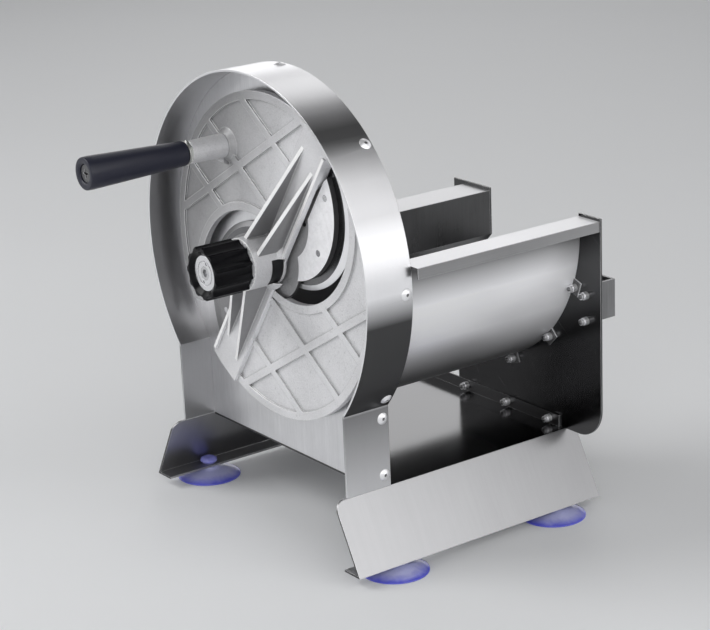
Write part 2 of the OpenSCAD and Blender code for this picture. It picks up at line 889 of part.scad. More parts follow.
module hub_clip() color("#202020") placed() at_shaft() {
  along_y(clip_from, clip_from + clip_w) difference() {
    clip_face();
    circle(r=sleeve_r + run_fit);
  }
  along_y(clip_from + (clip_w - groove_w) / 2 + lift, clip_from + (clip_w + groove_w) / 2 - lift)
    difference() {
      clip_face();
      circle(r=sleeve_r - groove_depth + lift);
    }
}

module clip_face() {
  intersection() {
    circle(r=hub_r - 2 * gap);
    translate([sleeve_r - 2 * groove_depth, clip_low]) square([far, clip_high - clip_low]);
  }
}

module index_ring() color("gray") placed() at_shaft() along_y(hub_front - index_t, hub_front)
  difference() {
    circle(r=hub_r - 2 * gap);
    circle(r=sleeve_r + run_fit + lift);
    for (k = [1:teeth])
      rotate(360 / teeth * k) translate([hub_r - 2 * gap, 0]) circle(r=2 * gap, $fn=4);
  }

module knob_sleeve() color("silver") placed() at_shaft() difference() {
  union() {
    rod_y(sleeve_front, sleeve_back, sleeve_r);
    rod_y(sleeve_front, sleeve_front + end_flange_t, end_flange_r);
  }
  rod_y(knob_front + sleeve_end, far, shaft_r + run_fit);
  rod_y(-far, far, set_screw_r, $fn=32);
  difference() {
    rod_y(-far, sleeve_front + end_line_w, end_line_r);
    rod_y(-far, far, end_line_r - end_line_w);
  }
  for (turn = [0, 180]) rotate([0, turn - spanner_deg, 0]) translate([spanner_at, 0, 0])
    rod_y(-far, sleeve_front + 2 * spanner_r, spanner_r, $fn=24);
  difference() {
    rod_y(clip_from + (clip_w - groove_w) / 2, clip_from + (clip_w + groove_w) / 2, hub_r);
    rod_y(clip_from, clip_from + clip_w, sleeve_r - groove_depth);
  }
}

module adjusting_knob() color("#181818") placed() at_shaft() difference() {
  union() {
    cone_y(knob_front, knob_front + knob_edge, knob_r - knob_edge, knob_r);
    rod_y(knob_front + knob_edge, knob_back, knob_r);
  }
  rod_y(-far, far, sleeve_r);
  rod_y(-far, sleeve_front + end_flange_t, end_flange_r);
  cone_y(knob_front, sleeve_front, dish_r, end_flange_r);
  for (k = [1:knob_lobes]) rotate([0, 360 / knob_lobes * k, 0])
    translate([knob_r - flute_deep + flute_r(), 0, 0]) rod_y(-far, far, flute_r(), $fn=48);
}

// Radius of a flute that is as wide as its share of the rim
function flute_r() = pow(knob_r * sin(180 / knob_lobes) - lift, 2) / (2 * flute_deep)
  + flute_deep / 2;

module zero_screw() color("silver") placed() at_shaft() difference() {
  rod_y(sleeve_front + lift, shaft_front - travel_back - touch, set_screw_r, $fn=32);
  rod_y(-far, sleeve_front + socket_deep, socket_r, $fn=6);
}

module handle_bolt() color("silver") placed() at_shaft() handle_spot() difference() {
  union() {
    rod_y(bolt_head_y(), bolt_head_y() + bolt_head_h, bolt_head_r, $fn=48);
    rod_y(bolt_head_y(), post_front + bolt_grip, bolt_r, $fn=48);
  }
  for (turn = [0, 90]) rotate([0, turn, 0])
    translate([-cross_w / 2, bolt_head_y() - touch, -bolt_head_r / 2])
      cube([cross_w, bolt_head_h / 2, bolt_head_r]);
}

function bolt_head_y() = grip_front + bolt_deep;

module handle_washer() color("silver") placed() at_shaft() handle_spot() difference() {
  rod_y(post_front - washer_t, post_front, post_r);
  rod_y(-far, far, bolt_r, $fn=48);
}

module handle_grip() color("#181818") placed() at_shaft() handle_spot() difference() {
  union() {
    cone_y(grip_front, grip_front + fillet, grip_tip_r - fillet / 2, grip_tip_r);
    cone_y(grip_front + fillet, grip_back - fillet / 2, grip_tip_r, grip_r);
    cone_y(grip_back - fillet / 2, grip_back, grip_r, grip_r - fillet / 2);
  }
  rod_y(-far, far, bolt_r + run_fit, $fn=48);
  rod_y(-far, bolt_head_y() + bolt_head_h + lift, bolt_head_r + gap, $fn=48);
}

// Suction cup: a thin bell on the floor, a neck through the flange and a round head
module suction_cup(side, y) {
  color("slateblue") placed() translate([side * cup_x, y, 0]) rotate_extrude($fn=64)
    difference() {
      union() {
        polygon([[0, 0], [cup_r, 0], [cup_r - 0.02 * cup_r, 0.12 * flange_z],
          [0.6 * cup_r, 0.5 * flange_z], [0.32 * cup_r, 0.8 * flange_z],
          [0.3 * cup_r, flange_z], [0, flange_z]]);
        square([cup_neck_r, flange_z + sheet_t]);
        translate([0, flange_z + sheet_t]) square([cup_head_r, sheet_t]);
        translate([0, flange_z + 2 * sheet_t]) dome(cup_head_r, 0.55 * cup_head_r);
      }
      polygon([[0, -over], [cup_r - 0.06 * cup_r, -over], [cup_r - 0.06 * cup_r, 0],
        [0.5 * cup_r, 0.3 * flange_z], [0, 0.5 * flange_z]]);
      translate([-over, -over]) square([over, far]);
    }
}

module suction_cup_1() suction_cup(-1, cup_y);

module suction_cup_2() suction_cup(1, cup_y);

module suction_cup_3() suction_cup(-1, cup_y + cup_pitch);

module suction_cup_4() suction_cup(1, cup_y + cup_pitch);

module guard_rivets() color("white") placed() at_guard_rivets() pop_rivet(2 * sheet_t);

// Rivets on the back plate are set from behind, so their tails point to the front
module back_rivet(grip) {
  translate([0, back_out, 0]) rotate([-90, 0, 0]) pop_rivet(grip);
}

module trough_rivets() color("white") placed()
  for (a = trough_deg)
    translate([trough_cx + (trough_r + trough_tab / 2) * cos(a), 0,
      shaft_h + trough_cz + (trough_r + trough_tab / 2) * sin(a)])
      back_rivet(sheet_t + trough_t);

module deck_rivets() color("white") placed()
  for (x = upstand_x) translate([x, 0, deck_z + upstand_h / 2]) back_rivet(2 * sheet_t);

module strap_rivets() color("white") placed() {
  for (z = [-strap_h / 3, strap_h / 3])
    translate([strap_x + strap_foot / 2, sheet_t, shaft_h - strap_down + z])
      back_rivet(2 * sheet_t);
  translate([-wall_x + strap_foot / 2, sheet_t, shaft_h - strap_down + strap_h / 3])
    back_rivet(2 * sheet_t);
}

base_plate();
guard_band();
front_plate();
back_plate();
feed_trough();
shaft_cover();
rear_strap();
front_bearing();
rear_bearing();
bearing_rivets();
shaft();
shaft_washer();
shaft_circlip();
blade_carrier();
carrier_screws();
drive_pins();
blade_1();
blade_2();
blade_screws();
cutter_disc();
hub_clip();
index_ring();
knob_sleeve();
adjusting_knob();
zero_screw();
handle_bolt();
handle_washer();
handle_grip();
suction_cup_1();
suction_cup_2();
suction_cup_3();
suction_cup_4();
guard_rivets();
trough_rivets();
deck_rivets();
strap_rivets();
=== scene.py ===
# Looks of the hand cranked slicer: finishes for its sheets, castings, blades, knob, grip and
# suction cups, the small pieces that finish them, and a plain studio.
import math

import bmesh
import bpy
from mathutils import Matrix, Vector


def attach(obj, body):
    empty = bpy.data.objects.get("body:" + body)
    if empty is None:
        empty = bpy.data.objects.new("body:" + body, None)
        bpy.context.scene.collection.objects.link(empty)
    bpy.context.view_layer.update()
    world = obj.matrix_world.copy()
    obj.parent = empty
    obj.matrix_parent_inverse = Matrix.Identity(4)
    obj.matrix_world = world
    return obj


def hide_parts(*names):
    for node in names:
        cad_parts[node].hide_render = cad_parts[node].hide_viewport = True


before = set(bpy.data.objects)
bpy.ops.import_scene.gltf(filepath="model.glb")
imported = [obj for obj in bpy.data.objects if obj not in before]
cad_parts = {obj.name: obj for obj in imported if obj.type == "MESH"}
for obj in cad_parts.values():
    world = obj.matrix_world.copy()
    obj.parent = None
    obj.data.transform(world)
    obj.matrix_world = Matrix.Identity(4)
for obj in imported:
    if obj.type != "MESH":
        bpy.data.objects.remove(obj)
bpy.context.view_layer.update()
MM = 0.001
# Millimetres from the drawing's front edge to the scene's middle
MIDDLE = 68.25


def row(x, y, z):
    """A point of the machine's own drawing, in millimetres, as a place in the scene."""
    return Vector((x * MM, (y - MIDDLE) * MM, z * MM))


# Places that the finishes and pieces go by
GRIP_X, GRIP_Z = -52.2, 285.0
SHAFT = Vector((0.0, 0.0, 0.21))
HANDLE = row(GRIP_X, MIDDLE, GRIP_Z)
# Front faces of the carrier's pads, and the face that the arm's fins stand on
PAD_FRONT = (19.64 - MIDDLE) * MM
ARM_FLOOR = (15.0 - MIDDLE) * MM
# Across the disc's arm, towards the right window
ARM_SIDE = (0.8271, 0.0, -0.5621)
# Across the disc's face, from its painted shade at the upper left to its painted light at the lower right
LIGHT_WAY = (0.88, 0.0, -0.47)
# Where the near rail turns down into its lip
LIP_X = 0.1458
# Heights just under the deck's top side and where the guard's ring meets its legs
DECK_TOP, RING_FOOT = 0.05, 0.12

# Camera: the photograph's place, tilt and lens
PHOTO_WIDTH, FOCAL_PIXELS, SENSOR = 710, 2239.1, 36
AZIMUTH, ELEVATION, ROLL = math.radians(54.06), math.radians(18.07), math.radians(-2.34)
SHIFT = (-0.0035, 0.0007)
DISTANCE = 1.6598
TARGET = Vector((0.0228, 0.00835, 0.1575))


def set_camera():
    level = math.cos(ELEVATION)
    back = Vector((math.sin(AZIMUTH) * level, -math.cos(AZIMUTH) * level, math.sin(ELEVATION)))
    side = Vector((0, 0, 1)).cross(back).normalized()
    up = back.cross(side)
    right = side * math.cos(ROLL) + up * math.sin(ROLL)
    top = up * math.cos(ROLL) - side * math.sin(ROLL)
    data = bpy.data.cameras.new("camera")
    data.sensor_width = SENSOR
    data.lens = FOCAL_PIXELS / PHOTO_WIDTH * SENSOR
    data.shift_x, data.shift_y = SHIFT
    data.clip_start, data.clip_end = 0.05, 50
    camera = bpy.data.objects.new("camera", data)
    bpy.context.scene.collection.objects.link(camera)
    turn = Matrix((right, top, back)).transposed().to_4x4()
    camera.matrix_world = Matrix.Translation(TARGET + back * DISTANCE) @ turn
    bpy.context.scene.camera = camera


set_camera()


# Shader node groups
NUMBER, COLOUR, VECTOR = "NodeSocketFloat", "NodeSocketColor", "NodeSocketVector"
SKIN_OUTPUTS = [("Color", COLOUR), ("Roughness", NUMBER), ("Normal", VECTOR)]


def group(name, inputs, outputs):
    tree = bpy.data.node_groups.new(name, "ShaderNodeTree")
    for label, kind, value in inputs:
        socket = tree.interface.new_socket(label, in_out="INPUT", socket_type=kind)
        socket.default_value = value
    for label, kind in outputs:
        tree.interface.new_socket(label, in_out="OUTPUT", socket_type=kind)
    put_in, out = tree.nodes.new("NodeGroupInput"), tree.nodes.new("NodeGroupOutput")
    return tree, Wiring(tree), put_in.outputs, out.inputs


class Wiring:
    """Adds nodes to a tree and joins them, one short call each."""

    def __init__(self, tree):
        self.tree = tree

    def node(self, kind, **settings):
        made = self.tree.nodes.new("ShaderNode" + kind)
        for key, value in settings.items():
            setattr(made, key, value)
        return made

    def put(self, socket, value):
        if isinstance(value, bpy.types.NodeSocket):
            self.tree.links.new(value, socket)
        else:
            socket.default_value = value

    def math(self, operation, a, b=0.0, c=0.0, clamp=False):
        made = self.node("Math", operation=operation, use_clamp=clamp)
        for socket, value in zip(made.inputs, (a, b, c)):
            self.put(socket, value)
        return made.outputs[0]

    def vector(self, operation, a, b=(0.0, 0.0, 0.0), out=0):
        made = self.node("VectorMath", operation=operation)
        self.put(made.inputs[0], a)
        self.put(made.inputs[1], b)
        return made.outputs[out]

    def noise(self, where, scale, detail=2.0, rough=0.5, warp=0.0):
        made = self.node("TexNoise")
        self.put(made.inputs["Vector"], where)
        self.put(made.inputs["Scale"], scale)
        made.inputs["Detail"].default_value = detail
        made.inputs["Roughness"].default_value = rough
        made.inputs["Distortion"].default_value = warp
        return made.outputs[0]

    def spread(self, value, low, high, to_low=0.0, to_high=1.0):
        """The value's way from low to high, held at both ends, as a number from to_low to to_high."""
        made = self.node("MapRange")
        labels = ("Value", "From Min", "From Max", "To Min", "To Max")
        for label, number in zip(labels, (value, low, high, to_low, to_high)):
            self.put(made.inputs[label], number)
        return made.outputs[0]

    def mix(self, share, a, b):
        """A number that goes from a to b with its share, as blend does for colours."""
        return self.spread(share, 0.0, 1.0, a, b)

    def times(self, first, *others):
        for other in others:
            first = self.math("MULTIPLY", first, other)
        return first

    def blend(self, share, a, b):
        made = self.node("Mix", data_type="RGBA")
        self.put(made.inputs[0], share)
        self.put(made.inputs[6], a)
        self.put(made.inputs[7], b)
        return made.outputs[2]

    def bump(self, height, distance, normal):
        made = self.node("Bump")
        self.put(made.inputs["Height"], height)
        self.put(made.inputs["Distance"], distance)
        self.put(made.inputs["Strength"], 1.0)
        self.put(made.inputs["Normal"], normal)
        return made.outputs[0]

    def scale(self, colour, factor):
        made = self.node("VectorMath", operation="SCALE")
        self.put(made.inputs[0], colour)
        self.put(made.inputs["Scale"], factor)
        return made.outputs[0]

    def split(self, value):
        made = self.node("SeparateXYZ")
        self.put(made.inputs[0], value)
        return made.outputs

    def here(self):
        """Where the point lies on its piece at rest, in metres."""
        return self.node("TexCoord").outputs["Object"]

    def spot(self):
        return self.split(self.here())

    def way(self):
        """Which way the face points on its piece at rest."""
        return self.node("TexCoord").outputs["Normal"]

    def facing(self):
        return self.split(self.way())

    def from_shaft(self, direction):
        """How far the point lies from the shaft along a direction."""
        off = self.vector("SUBTRACT", self.here(), tuple(SHAFT))
        return self.vector("DOT_PRODUCT", off, direction, out=1)


def broken_edge():
    """Rounds the sharp edges in shading and gives a mask of where they are."""
    tree, w, put_in, out = group("broken edge", [("Radius", NUMBER, 0.0006)], [("Normal", VECTOR), ("Edge", NUMBER)])
    bevel = w.node("Bevel", samples=6)
    w.put(bevel.inputs["Radius"], put_in["Radius"])
    true = w.node("NewGeometry").outputs["Normal"]
    same = w.vector("DOT_PRODUCT", bevel.outputs[0], true, out=1)
    w.put(out["Normal"], bevel.outputs[0])
    w.put(out["Edge"], w.spread(same, 0.995, 0.8))
    return tree


def sheet_grain():
    """Fine brushing of rolled sheet, one way along the sheet, with cloudy handling marks."""
    tree, w, put_in, out = group(
        "sheet grain",
        [
            ("Tone", COLOUR, (0.6, 0.6, 0.6, 1)),
            ("Lines", VECTOR, (30.0, 4000.0, 30.0)),
            ("Contrast", NUMBER, 0.06),
            ("Roughness", NUMBER, 0.25),
            ("Spread", NUMBER, 0.12),
            ("Depth", NUMBER, 0.00002),
            ("Normal", VECTOR, (0, 0, 0)),
            ("Edge", NUMBER, 0.0),
        ],
        SKIN_OUTPUTS,
    )
    where = w.here()
    lines = w.noise(w.vector("MULTIPLY", where, put_in["Lines"]), 1.0, detail=3.0, rough=0.6)
    broad = w.vector("MULTIPLY", put_in["Lines"], (0.12, 0.06, 0.12))
    wide = w.noise(w.vector("MULTIPLY", where, broad), 1.0, detail=2.0)
    cloud = w.noise(where, 14.0, detail=4.0, rough=0.6, warp=0.3)
    scratch = w.noise(w.vector("MULTIPLY", where, (260.0, 90.0, 60.0)), 1.0, detail=2.0, rough=0.5, warp=1.5)
    fine = w.spread(scratch, 0.66, 0.72)
    mix = w.math("ADD", w.math("MULTIPLY", lines, 0.6), w.math("MULTIPLY", wide, 0.4))
    shade = w.math("MULTIPLY_ADD", w.math("SUBTRACT", mix, 0.5), put_in["Contrast"], 1.0)
    shade = w.math("ADD", shade, w.math("MULTIPLY", w.math("SUBTRACT", cloud, 0.5), put_in["Contrast"]))
    # Edges brighten: partly rubbed wear, partly a painted highlight
    wear_and_highlight = w.math("MULTIPLY", put_in["Edge"], 0.8)
    w.put(out["Color"], w.blend(wear_and_highlight, w.scale(put_in["Tone"], shade), (0.9, 0.9, 0.91, 1)))
    rough = w.math("MULTIPLY_ADD", w.math("SUBTRACT", mix, 0.5), put_in["Spread"], put_in["Roughness"])
    rough = w.math("MULTIPLY_ADD", w.math("SUBTRACT", cloud, 0.5), put_in["Spread"], rough)
    w.put(out["Roughness"], w.math("MULTIPLY_ADD", fine, 0.03, rough, clamp=True))
    w.put(out["Normal"], w.bump(lines, put_in["Depth"], put_in["Normal"]))
    return tree


def sand_skin():
    """Skin of a sand casting: fine grain, shallow pits and a slow change of tone, with painted shade in its corners
    and bright edges that are partly rubbed wear and partly a painted highlight.
    """
    tree, w, put_in, out = group(
        "sand skin",
        [
            ("Tone", COLOUR, (0.6, 0.6, 0.61, 1)),
            ("Deep tone", COLOUR, (0.42, 0.42, 0.44, 1)),
            ("Roughness", NUMBER, 0.5),
            ("Depth", NUMBER, 0.00012),
            ("Normal", VECTOR, (0, 0, 0)),
            ("Edge", NUMBER, 0.0),
        ],
        SKIN_OUTPUTS,
    )
    where = w.here()
    grain = w.noise(where, 1500.0, detail=3.0, rough=0.65)
    lumps = w.noise(where, 260.0, detail=3.0, rough=0.6)
    cloud = w.noise(where, 22.0, detail=4.0, rough=0.55, warp=0.4)
    pits = w.spread(w.noise(where, 620.0, detail=1.0), 0.33, 0.24)
    height = w.math("ADD", w.math("MULTIPLY", grain, 0.55), w.math("MULTIPLY", lumps, 0.9))
    height = w.math("MULTIPLY_ADD", pits, -0.7, height)
    dark = w.math("ADD", w.spread(cloud, 0.35, 0.75, 0.0, 0.45), w.math("MULTIPLY", pits, 0.4))
    dark = w.math("ADD", dark, w.math("MULTIPLY", w.math("SUBTRACT", grain, 0.5), 1.4), clamp=True)
    colour = w.blend(dark, put_in["Tone"], put_in["Deep tone"])
    # Painted shade: corners and hollows are darkened where shade falls in them
    corner = w.node("AmbientOcclusion", samples=6)
    corner.inputs["Distance"].default_value = 0.004
    colour = w.blend(w.spread(corner.outputs["AO"], 0.8, 0.35, 0.0, 0.8), colour, (0.1, 0.1, 0.1, 1))
    # Edges brighten: partly rubbed wear, partly a painted highlight
    w.put(out["Color"], w.blend(put_in["Edge"], colour, (0.96, 0.96, 0.97, 1)))
    rough = w.math("MULTIPLY_ADD", w.math("SUBTRACT", lumps, 0.5), 0.2, put_in["Roughness"])
    w.put(out["Roughness"], w.math("MULTIPLY_ADD", put_in["Edge"], -0.18, rough, clamp=True))
    w.put(out["Normal"], w.bump(height, put_in["Depth"], put_in["Normal"]))
    return tree


def lathe_rings():
    """Turned rings round a shaft that runs front to back through a given centre."""
    tree, w, put_in, out = group(
        "lathe rings",
        [
            ("Centre", VECTOR, (0, 0, 0.21)),
            ("Rings", NUMBER, 2400.0),
            ("Depth", NUMBER, 0.00003),
            ("Normal", VECTOR, (0, 0, 0)),
        ],
        [("Line", NUMBER), ("Normal", VECTOR)],
    )
    off = w.vector("MULTIPLY", w.vector("SUBTRACT", w.here(), put_in["Centre"]), (1.0, 0.0, 1.0))
    far = w.vector("LENGTH", off, out=1)
    joined = w.node("CombineXYZ")
    w.put(joined.inputs[0], w.math("MULTIPLY", far, put_in["Rings"]))
    w.put(joined.inputs[1], w.math("MULTIPLY", w.spot()[1], put_in["Rings"]))
    line = w.noise(joined.outputs[0], 1.0, detail=3.0, rough=0.6)
    w.put(out["Line"], line)
    w.put(out["Normal"], w.bump(line, put_in["Depth"], put_in["Normal"]))
    return tree


def moulding():
    """Surface of a moulded plastic: slight waviness, a fine grain, and specks of dust in clouds."""
    tree, w, put_in, out = group(
        "moulding",
        [
            ("Tone", COLOUR, (0.01, 0.01, 0.012, 1)),
            ("Dust", NUMBER, 0.3),
            ("Roughness", NUMBER, 0.25),
            ("Depth", NUMBER, 0.00003),
            ("Normal", VECTOR, (0, 0, 0)),
        ],
        SKIN_OUTPUTS,
    )
    where = w.here()
    wave = w.noise(where, 120.0, detail=2.0)
    leather = w.noise(where, 2600.0, detail=2.0)
    specks = w.spread(w.noise(where, 900.0, detail=2.0, rough=0.7), 0.62, 0.8)
    cloud = w.noise(where, 40.0, detail=3.0)
    share = w.math("MULTIPLY", w.math("MULTIPLY", specks, cloud), put_in["Dust"])
    w.put(out["Color"], w.blend(share, put_in["Tone"], (0.2, 0.2, 0.21, 1)))
    rough = w.math("MULTIPLY_ADD", w.math("SUBTRACT", cloud, 0.5), 0.16, put_in["Roughness"])
    w.put(out["Roughness"], w.math("MULTIPLY_ADD", specks, 0.1, rough, clamp=True))
    height = w.math("ADD", w.math("MULTIPLY", wave, 3.0), w.math("MULTIPLY", leather, 0.35))
    w.put(out["Normal"], w.bump(height, put_in["Depth"], put_in["Normal"]))
    return tree


def scratches():
    """Mask of thin scratches that cross at odd angles."""
    tree, w, put_in, out = group("scratches", [("Cover", NUMBER, 0.5)], [("Mask", NUMBER)])
    where = w.here()
    mask = 0.0
    runs = ((0.4, (900.0, 60.0, 20.0)), (-0.7, (20.0, 90.0, 1000.0)), (1.1, (700.0, 60.0, 28.0)))
    for turn, stretch in runs:
        turned = w.node("VectorRotate", rotation_type="Y_AXIS")
        w.put(turned.inputs["Vector"], where)
        turned.inputs["Angle"].default_value = turn
        line = w.noise(w.vector("MULTIPLY", turned.outputs[0], stretch), 1.0, detail=1.0, rough=0.4)
        mask = w.math("MAXIMUM", mask, w.spread(line, 0.74, 0.8))
    w.put(out["Mask"], w.math("MULTIPLY", mask, put_in["Cover"], clamp=True))
    return tree


EDGE, GRAIN, SAND = broken_edge(), sheet_grain(), sand_skin()
RINGS, MOULD, SCRATCH = lathe_rings(), moulding(), scratches()


def grey(value, blue=1.02):
    return (value, value, min(1.0, value * blue), 1.0)


def material(name):
    made = bpy.data.materials.new(name)
    made.use_nodes = True
    tree = made.node_tree
    tree.nodes.clear()
    w = Wiring(tree)
    shader = w.node("BsdfPrincipled")
    tree.links.new(shader.outputs[0], w.node("OutputMaterial").inputs[0])
    return made, w, shader.inputs


def place(w, tree, **values):
    """A group in a material with this finish's own values. Gives back what it puts out."""
    made = w.node("Group", node_tree=tree)
    for label, value in values.items():
        w.put(made.inputs[label.replace("_", " ")], value)
    return made.outputs


def feed(w, shader, colour, rough, normal, metal=1.0):
    """Joins a finish to its shader. A value is a socket, or a number that holds all over."""
    labels = ("Base Color", "Roughness", "Normal", "Metallic")
    for label, value in zip(labels, (colour, rough, normal, metal)):
        w.put(shader[label], value)


# Brushing: how often the grain changes along x, y and z. The lines run where it changes least.
CROSS_FINE = (30.0, 4000.0, 30.0)
CROSS = (30.0, 3000.0, 30.0)
CROSS_COARSE = (30.0, 1400.0, 30.0)
CROSS_WIDE = (30.0, 1000.0, 30.0)
ALONG = (1300.0, 20.0, 1300.0)
UPRIGHT = (1500.0, 30.0, 60.0)
EVEN = (900.0, 900.0, 900.0)

# Radius of a sheet's rounded edge, in metres; its bright rim is partly rubbed wear and partly a painted highlight
SHEET_RIM = 0.0006
# A face begins to count as facing one way at the first of these, and does so fully at the second
NEARLY, FULLY = 0.9, 0.97
# A line or cloud of noise mostly lies between these
LINE_ENDS = (0.3, 0.7)


def brushed(w, rim, tone, rough, lines, contrast, spread, depth):
    """Sheet grain of one tone, with its rim brightened: partly rubbed wear, partly a painted highlight."""
    made = place(
        w, GRAIN, Tone=grey(tone), Lines=lines, Contrast=contrast, Roughness=rough, Spread=spread, Depth=depth,
        Normal=rim["Normal"], Edge=rim["Edge"],
    )
    return made["Color"], made["Roughness"], made["Normal"]


def sheet_steel(name, tone, rough, lines, contrast, depth=0.000015, edge=SHEET_RIM, metal=1.0):
    made, w, shader = material(name)
    rim = place(w, EDGE, Radius=edge)
    feed(w, shader, *brushed(w, rim, tone, rough, lines, contrast, spread=0.1, depth=depth), metal)
    return made


def scuffed_steel(name, tone, rough, lines):
    """Thin polished sheet with sparse handling scratches over its brushing."""
    made, w, shader = material(name)
    rim = place(w, EDGE, Radius=SHEET_RIM)
    colour, skin_rough, normal = brushed(w, rim, tone, rough, lines, contrast=0.2, spread=0.1, depth=0.000006)
    marks = place(w, SCRATCH, Cover=0.5)["Mask"]
    marked = w.blend(marks, colour, grey(tone * 2.2))
    feed(w, shader, marked, w.math("MULTIPLY_ADD", marks, 0.15, skin_rough), normal)
    return made


def two_sheets(
    name, first, second, share, lines=CROSS_FINE, second_lines=CROSS_COARSE,
    dark_ends=False, shade=None, metal=None,
):
    """Sheet with one finish (tone, roughness, contrast) on some faces and a second on the rest.

    share says where the second is. shade paints light and shade onto the first over its length, and
    metal says how metallic the sheet is where that varies.
    """
    made, w, shader = material(name)
    rim = place(w, EDGE, Radius=SHEET_RIM)
    skins = []
    for (tone, rough, contrast), way in ((first, lines), (second, second_lines)):
        skins.append(brushed(w, rim, tone, rough, way, contrast, spread=0.05, depth=0.000012))
    (main, main_rough, normal), (other, other_rough, _) = skins
    mask = share(w)
    if shade:
        main = w.scale(main, shade(w))
    colour = w.blend(mask, main, other)
    # The end faces are made near black
    if dark_ends:
        colour = w.blend(end_share(w), colour, grey(0.09))
    feed(w, shader, colour, w.mix(mask, main_rough, other_rough), normal, metal(w) if metal else 1.0)
    return made


def turned_metal(name, colour, rough, centre, rings=2400.0, depth=0.00002):
    """Metal from a lathe, with fine rings round its own centre."""
    made, w, shader = material(name)
    rim = place(w, EDGE, Radius=0.0004)
    marks = place(w, RINGS, Centre=tuple(centre), Rings=rings, Depth=depth, Normal=rim["Normal"])
    tint = w.scale(colour[:3], w.spread(marks["Line"], *LINE_ENDS, 0.9, 1.06))
    feed(w, shader, tint, w.spread(marks["Line"], *LINE_ENDS, rough - 0.06, rough + 0.08), marks["Normal"])
    return made


def plastic(name, tone, rough, dust, depth, shine):
    made, w, shader = material(name)
    rim = place(w, EDGE, Radius=0.0005)
    skin = place(w, MOULD, Tone=tone, Dust=dust, Roughness=rough, Depth=depth, Normal=rim["Normal"])
    feed(w, shader, skin["Color"], skin["Roughness"], skin["Normal"], metal=0.0)
    shader["Specular IOR Level"].default_value = shine
    return made


# Where each sheet takes its second finish: a mask from its own heights and faces
def deck_share(w):
    """Where the base plate is its flat deck."""
    return w.times(w.spread(w.facing()[2], NEARLY, FULLY), w.spread(w.spot()[2], DECK_TOP, DECK_TOP + 0.002))


def lip_share(w):
    """Where the near rail turns down into its lip."""
    return w.spread(w.spot()[0], LIP_X - 0.0002, LIP_X)


def end_share(w):
    """Where a sheet faces along the shaft: the trough's tabs and the deck's upstand."""
    end = w.spread(w.math("ABSOLUTE", w.facing()[1]), NEARLY, FULLY)
    return w.times(end, w.spread(w.spot()[2], 0.2, 0.195))


def inner_share(w):
    """Where the guard band faces the shaft."""
    off = w.vector("MULTIPLY", w.vector("SUBTRACT", w.here(), tuple(SHAFT)), (1.0, 0.0, 1.0))
    return w.spread(w.vector("DOT_PRODUCT", off, w.way(), out=1), -0.01, -0.03)


def upright_share(w):
    """Where the shaft cover stands up or slopes."""
    return w.spread(w.facing()[2], FULLY, NEARLY)


# Painted light and shade: how a sheet's first finish lightens and darkens over its length
def guard_shade(w):
    """Painted reflections: the ring is brightest at its sides and top, with a painted dark band between and painted
    shade underneath.

    The legs, below the ring, carry painted shade that deepens upward.
    """
    up, high = w.facing()[2], w.spot()[2]
    under = w.spread(up, -0.14, 0.02, 0.085, 1.0)
    sides = w.spread(up, 0.0, 0.33, 1.6, 1.0)
    top = w.spread(up, 0.4, 0.56, 1.0, 1.65)
    band = w.spread(w.math("ABSOLUTE", w.math("SUBTRACT", up, 0.766)), 0.02, 0.09, 0.35, 1.0)
    below = w.spread(high, RING_FOOT + 0.002, RING_FOOT - 0.002)
    leg = w.mix(below, 1.0, w.spread(high, DECK_TOP, RING_FOOT - 0.002, 0.92, 0.32))
    return w.times(under, sides, top, band, leg)


def trough_shade(w):
    """Painted shadow close under the chute's rail, painted shade where it turns under, and a painted highlight
    between them.
    """
    high = w.spot()[2]
    under_rail = w.spread(high, 0.219, 0.191, 0.12, 1.1)
    turned_under = w.spread(high, 0.118, 0.158, 0.2, 1.0)
    return w.spread(w.facing()[2], 0.3, 0.8, w.times(under_rail, turned_under), 1.0)


def trough_metal(w):
    """The chute's far end is the more matt one."""
    return w.spread(w.spot()[1], 0.05, 0.135, 0.7, 0.25)


def skirt_shade(w):
    """Painted light: the skirts are a little brighter towards the front."""
    return w.spread(w.spot()[1], -0.068, 0.13, 1.28, 0.92)


